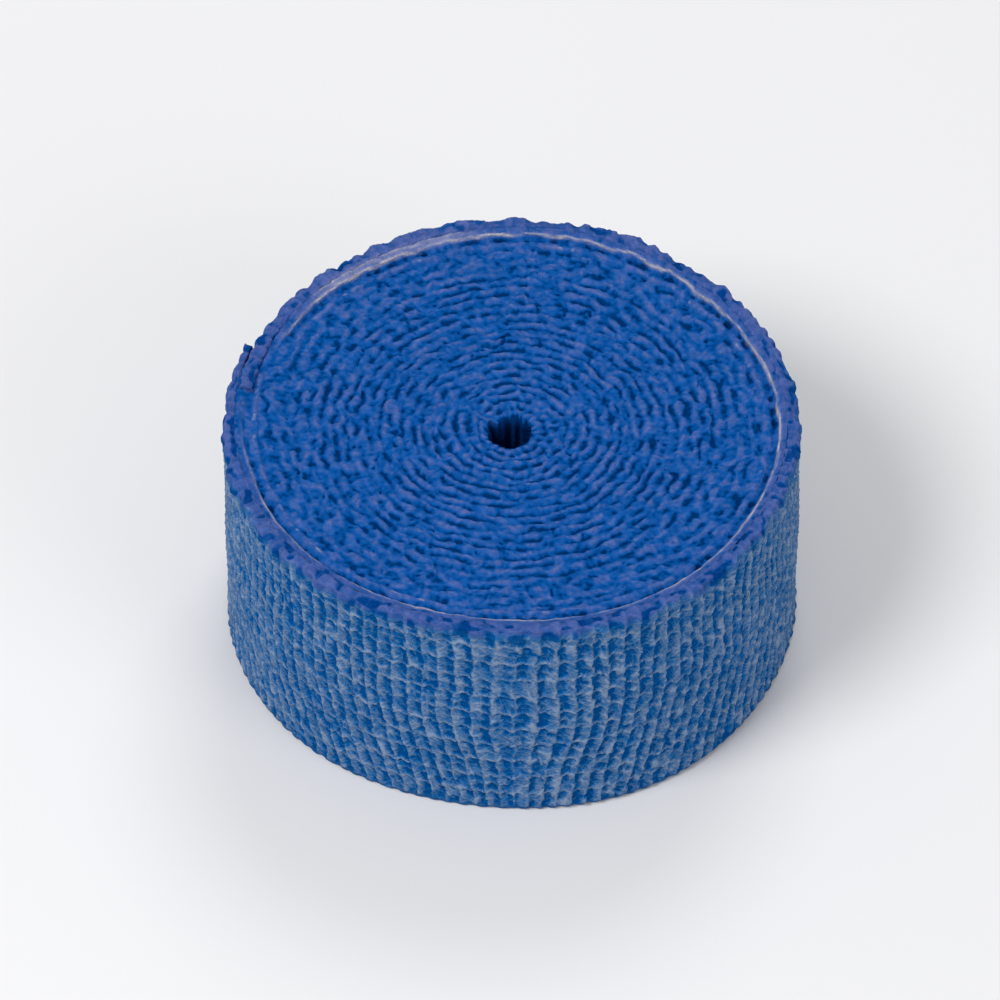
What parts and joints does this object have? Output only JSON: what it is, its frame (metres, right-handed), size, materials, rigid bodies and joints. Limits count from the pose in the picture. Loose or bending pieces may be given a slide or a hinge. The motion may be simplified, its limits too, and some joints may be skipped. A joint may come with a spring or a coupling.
{
  "type": "cohesive bandage roll",
  "caption": "Narrow strip of blue crepe tape wound on itself into a short round roll with a small open eye, standing on its flat end.",
  "frame": {"origin": "centre of the flat end that the roll stands on", "axes": "+Z along the roll's axis, up through the eye, which is the width of the tape; the outer end of the tape is stuck down left of the back, 158 degrees from +X towards +Y"},
  "size_m": [0.055, 0.0548, 0.025],
  "materials": {
    "blue_crepe": "matte crinkled elastic crepe, cobalt blue, greyer on the wall and more saturated on the wound edges"
  },
  "bodies": {
    "root": {"bandage_roll": "blue_crepe"}
  },
  "joints": []
}
